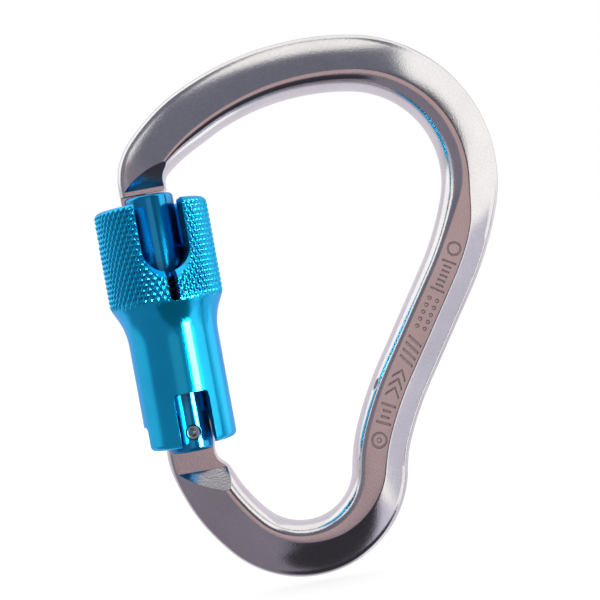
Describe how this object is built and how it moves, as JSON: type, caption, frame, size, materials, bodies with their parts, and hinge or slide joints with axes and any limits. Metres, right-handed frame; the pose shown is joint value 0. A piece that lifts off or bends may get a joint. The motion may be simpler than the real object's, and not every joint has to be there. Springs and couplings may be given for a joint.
{
  "type": "auto-locking carabiner",
  "caption": "Pear-shaped forged carabiner with a sprung gate and a knurled lift-and-twist locking sleeve over the gate.",
  "frame": {"origin": "centre of the object's bounding box, on the plane that halves the forged body", "axes": "+Z runs along the gate from the hinge to the nose, with the wide end up; +X points from the gate to the spine; the front faces -Y"},
  "size_m": [0.0812, 0.0228, 0.106],
  "materials": {
    "polished_aluminium": "polished, lightly tumbled",
    "blue_anodised": "bright blue anodised, knurled grip",
    "blue_anodised_gate": "bright blue anodised, polished",
    "polished_steel": "polished",
    "spring_steel": "black oxide"
  },
  "bodies": {
    "body": {"body_frame": "polished_aluminium"},
    "gate": {"gate_barrel": "blue_anodised_gate", "hinge_pin": "polished_steel", "gate_spring": "spring_steel", "sleeve_spring": "spring_steel", "spring_seat": "spring_steel", "retaining_ring": "spring_steel"},
    "plunger": {"gate_plunger": "polished_steel"},
    "washer": {"thrust_washer": "polished_steel"},
    "sleeve": {"locking_sleeve": "blue_anodised"}
  },
  "joints": [
    {"name": "gate_swing", "type": "hinge", "parent": "body", "child": "gate", "pos_m": [-0.0283, 0, -0.0201], "axis": [0, 1, 0], "range_deg": [0, 25]},
    {"name": "plunger_slide", "type": "slide", "parent": "gate", "child": "plunger", "axis": [0, 0, 1], "range_m": [0, 0.00126], "deforming": ["gate_spring"]},
    {"name": "sleeve_lift", "type": "slide", "parent": "gate", "child": "washer", "axis": [0, 0, 1], "range_m": [0, 0.0042], "deforming": ["sleeve_spring"]},
    {"name": "sleeve_twist", "type": "hinge", "parent": "washer", "child": "sleeve", "pos_m": [-0.0292, 0, 0], "axis": [0, 0, -1], "range_deg": [0, 105]}
  ],
  "couplings": [
    {"joint": "plunger_slide", "follows": "gate_swing", "m_per_rad": 0.0028648}
  ]
}
